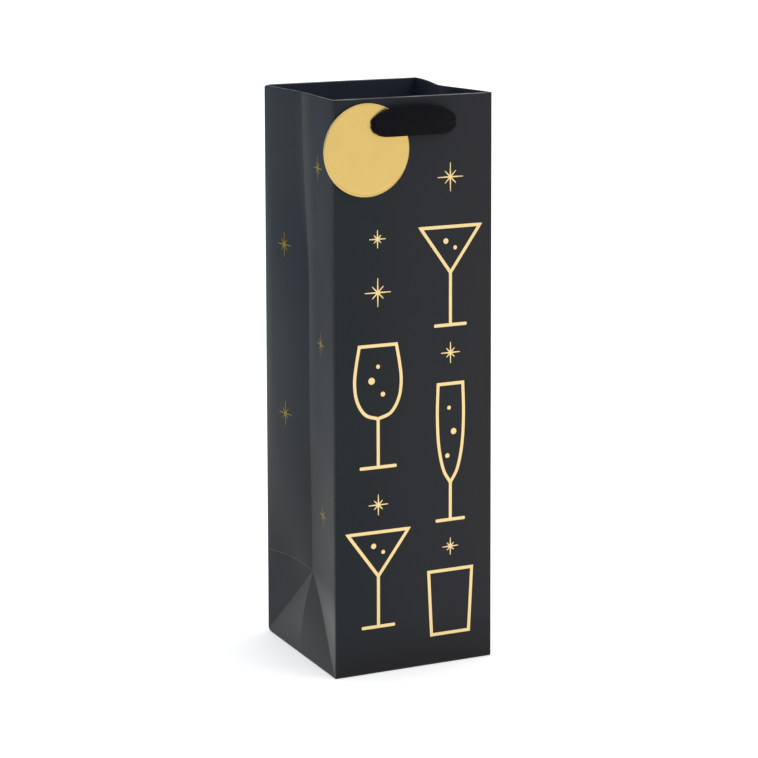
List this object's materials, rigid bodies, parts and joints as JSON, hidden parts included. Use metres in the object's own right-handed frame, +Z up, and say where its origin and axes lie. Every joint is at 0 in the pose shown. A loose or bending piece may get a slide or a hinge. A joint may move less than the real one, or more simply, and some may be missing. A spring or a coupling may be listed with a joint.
{
  "type": "wine gift bag",
  "caption": "Tall square paper gift bag for a wine bottle, with creased gussets, ribbon handles that pull out through punched holes, foil line drawings and a round hanging tag.",
  "frame": {"origin": "centre of the base, on the surface the bag stands on", "axes": "+Z up towards the open mouth; the front panel, with the tag, faces -Y; +X is to the right seen from the front"},
  "size_m": [0.1048, 0.1146, 0.33],
  "materials": {
    "paper": "matt laminated, near black with a cool cast",
    "board": "uncoated grey board",
    "foil": "hot-stamped gold foil, satin",
    "ribbon": "black woven ribbon, soft sheen",
    "tag_card": "uncoated card",
    "tag_foil": "satin metallised gold"
  },
  "bodies": {
    "bag": {"front_panel": "paper", "back_panel": "paper", "left_gusset_front": "paper", "left_gusset_back": "paper", "left_gusset_foot": "paper", "right_gusset_front": "paper", "right_gusset_back": "paper", "right_gusset_foot": "paper", "side_seam_flap": "paper", "front_hem": "paper", "back_hem": "paper", "left_hem": "paper", "right_hem": "paper", "base_flap_front": "paper", "base_flap_back": "paper", "base_flap_left": "paper", "base_flap_right": "paper", "front_handle_card": "board", "back_handle_card": "board", "base_board": "board", "front_foil": "foil", "back_foil": "foil", "left_foil": "foil", "right_foil": "foil", "front_tail_left": "ribbon", "front_tail_right": "ribbon", "back_tail_left": "ribbon", "back_tail_right": "ribbon"},
    "front_handle": {"front_ribbon": "ribbon"},
    "front_knots": {"front_knot_left": "ribbon", "front_knot_right": "ribbon"},
    "back_handle": {"back_ribbon": "ribbon"},
    "back_knots": {"back_knot_left": "ribbon", "back_knot_right": "ribbon"},
    "gift_tag": {"tag_card": "tag_card", "tag_foil": "tag_foil"}
  },
  "joints": [
    {"name": "front_handle_pull", "type": "slide", "parent": "bag", "child": "front_handle", "axis": [0, 0, 1], "range_m": [0, 0.11]},
    {"name": "front_knots_rise", "type": "slide", "parent": "bag", "child": "front_knots", "axis": [0, 0, 1], "range_m": [0, 0.11], "deforming": ["front_tail_left", "front_tail_right"]},
    {"name": "back_handle_pull", "type": "slide", "parent": "bag", "child": "back_handle", "axis": [0, 0, 1], "range_m": [0, 0.11]},
    {"name": "back_knots_rise", "type": "slide", "parent": "bag", "child": "back_knots", "axis": [0, 0, 1], "range_m": [0, 0.11], "deforming": ["back_tail_left", "back_tail_right"]},
    {"name": "tag_swing", "type": "hinge", "parent": "bag", "child": "gift_tag", "pos_m": [-0.0235, -0.0508, 0.316], "axis": [0, 1, 0], "range_deg": [-80, 80]}
  ],
  "couplings": [
    {"joint": "front_knots_rise", "follows": "front_handle_pull", "ratio": 1},
    {"joint": "back_knots_rise", "follows": "back_handle_pull", "ratio": 1}
  ]
}
